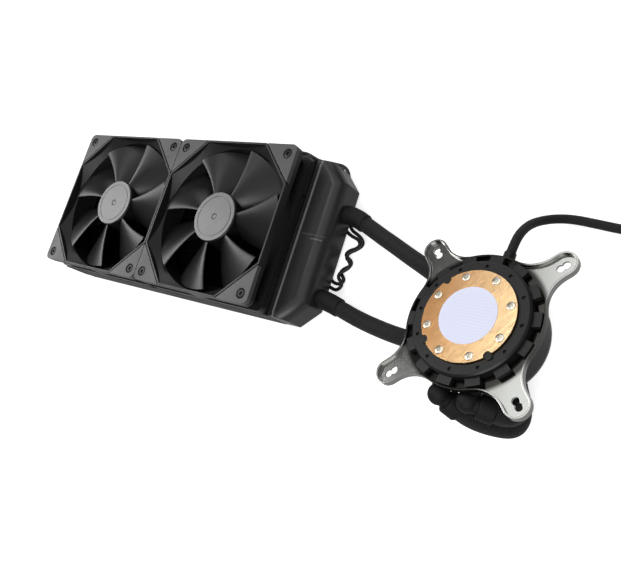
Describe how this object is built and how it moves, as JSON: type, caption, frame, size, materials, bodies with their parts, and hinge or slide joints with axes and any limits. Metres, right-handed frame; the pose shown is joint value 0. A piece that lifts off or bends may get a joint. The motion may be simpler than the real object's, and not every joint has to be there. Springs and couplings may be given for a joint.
{
  "type": "all in one cpu liquid cooler",
  "caption": "Closed loop liquid cooler: finned radiator with axial fans, sleeved rubber hoses and a round pump block with copper cold plate, cross-shaped bracket and coiled lead.",
  "frame": {"origin": "middle of the radiator's rear face, which lies in the plane Z = 0", "axes": "+X along the radiator towards the hose tank and the pump, +Y across it, +Z out of the front of the fans"},
  "size_m": [0.5198, 0.2014, 0.0645],
  "materials": {
    "bearing_brass": "sintered, oiled",
    "black_plastic": "moulded satin black plastic",
    "block_plastic": "moulded black plastic, semi-matt",
    "cable_sleeve": "black braid-like sleeving, matt",
    "cap_plastic": "smooth black plastic, soft gloss",
    "ceramic": "white ceramic",
    "circuit": "lacquered board",
    "compound": "pale lilac-grey paste with a grid of print marks",
    "copper": "machined copper, fine turning marks",
    "dark_screws": "black oxide, slight sheen",
    "fan_plastic": "moulded charcoal plastic, satin",
    "gland_rubber": "moulded strain relief",
    "hose_rubber": "black rubber tube in a fine braided sleeve, satin",
    "hub_label": "grey foil disc, satin",
    "lead_sleeve": "black sleeving, matt",
    "magnet": "bonded ferrite",
    "nickel": "bright nickel on pressed steel, slight brushing",
    "pad_rubber": "dark grey soft rubber, dry",
    "painted_case": "matt black powder coat, fine grain",
    "painted_core": "satin black baked paint on aluminium tube",
    "painted_fins": "thin satin black paint on folded aluminium",
    "plate_screws": "machine screws, dull nickel",
    "plated_brass": "turned, dull",
    "plug_plastic": "moulded black plastic",
    "rotor_plastic": "moulded charcoal plastic, satin",
    "seal_rubber": "moulded ring, satin",
    "stator_copper": "enamelled winding",
    "steel_pin": "ground",
    "wheel_plastic": "filled plastic, dull"
  },
  "bodies": {
    "cooler": {"cable_gland": "gland_rubber", "cold_plate": "copper", "cold_plate_screws": "plate_screws", "cold_plate_seal": "seal_rubber", "core_fins": "painted_fins", "core_tubes": "painted_core", "elbow_seals": "seal_rubber", "fan1_bearing": "bearing_brass", "fan1_circuit_board": "circuit", "fan1_corner_pads": "pad_rubber", "fan1_frame": "fan_plastic", "fan1_lead": "lead_sleeve", "fan1_lead_plug": "plug_plastic", "fan1_screws": "dark_screws", "fan1_stator": "stator_copper", "fan2_bearing": "bearing_brass", "fan2_circuit_board": "circuit", "fan2_corner_pads": "pad_rubber", "fan2_frame": "fan_plastic", "fan2_lead": "lead_sleeve", "fan2_lead_plug": "plug_plastic", "fan2_screws": "dark_screws", "fan2_stator": "stator_copper", "fill_plug": "black_plastic", "impeller_shaft": "ceramic", "inlet_elbow": "black_plastic", "jet_plate": "wheel_plastic", "lower_hose": "hose_rubber", "lower_side_plate": "painted_case", "outlet_elbow": "black_plastic", "port_header_plate": "painted_core", "port_tank": "painted_case", "pump_cable": "cable_sleeve", "pump_cable_coil": "cable_sleeve", "pump_cable_plug": "plug_plastic", "pump_cap": "cap_plastic", "pump_circuit_board": "circuit", "pump_collars": "black_plastic", "pump_housing": "block_plastic", "pump_stator": "stator_copper", "return_header_plate": "painted_core", "return_tank": "painted_case", "tank_collars": "black_plastic", "tank_spigots": "plated_brass", "thermal_compound": "compound", "upper_hose": "hose_rubber", "upper_side_plate": "painted_case"},
    "fan1_rotor_set": {"fan1_rotor": "rotor_plastic", "fan1_hub_disc": "hub_label", "fan1_magnet_ring": "magnet", "fan1_shaft": "steel_pin"},
    "fan2_rotor_set": {"fan2_rotor": "rotor_plastic", "fan2_hub_disc": "hub_label", "fan2_magnet_ring": "magnet", "fan2_shaft": "steel_pin"},
    "pump_wheel": {"impeller": "wheel_plastic", "impeller_magnet": "magnet"},
    "bracket": {"mounting_bracket": "nickel"}
  },
  "joints": [
    {"name": "fan1_spin", "type": "hinge", "parent": "cooler", "child": "fan1_rotor_set", "pos_m": [-0.06, 0, 0.04], "axis": [0, 0, 1], "continuous": true},
    {"name": "fan2_spin", "type": "hinge", "parent": "cooler", "child": "fan2_rotor_set", "pos_m": [0.06, 0, 0.04], "axis": [0, 0, 1], "continuous": true},
    {"name": "impeller_spin", "type": "hinge", "parent": "cooler", "child": "pump_wheel", "pos_m": [0.28048, -0.04009, 0.04327], "axis": [-0.1119, 0.153, 0.9819], "continuous": true},
    {"name": "bracket_twist", "type": "hinge", "parent": "cooler", "child": "bracket", "pos_m": [0.27979, -0.03915, 0.04931], "axis": [-0.1119, 0.153, 0.9819], "range_deg": [0, 12]}
  ]
}
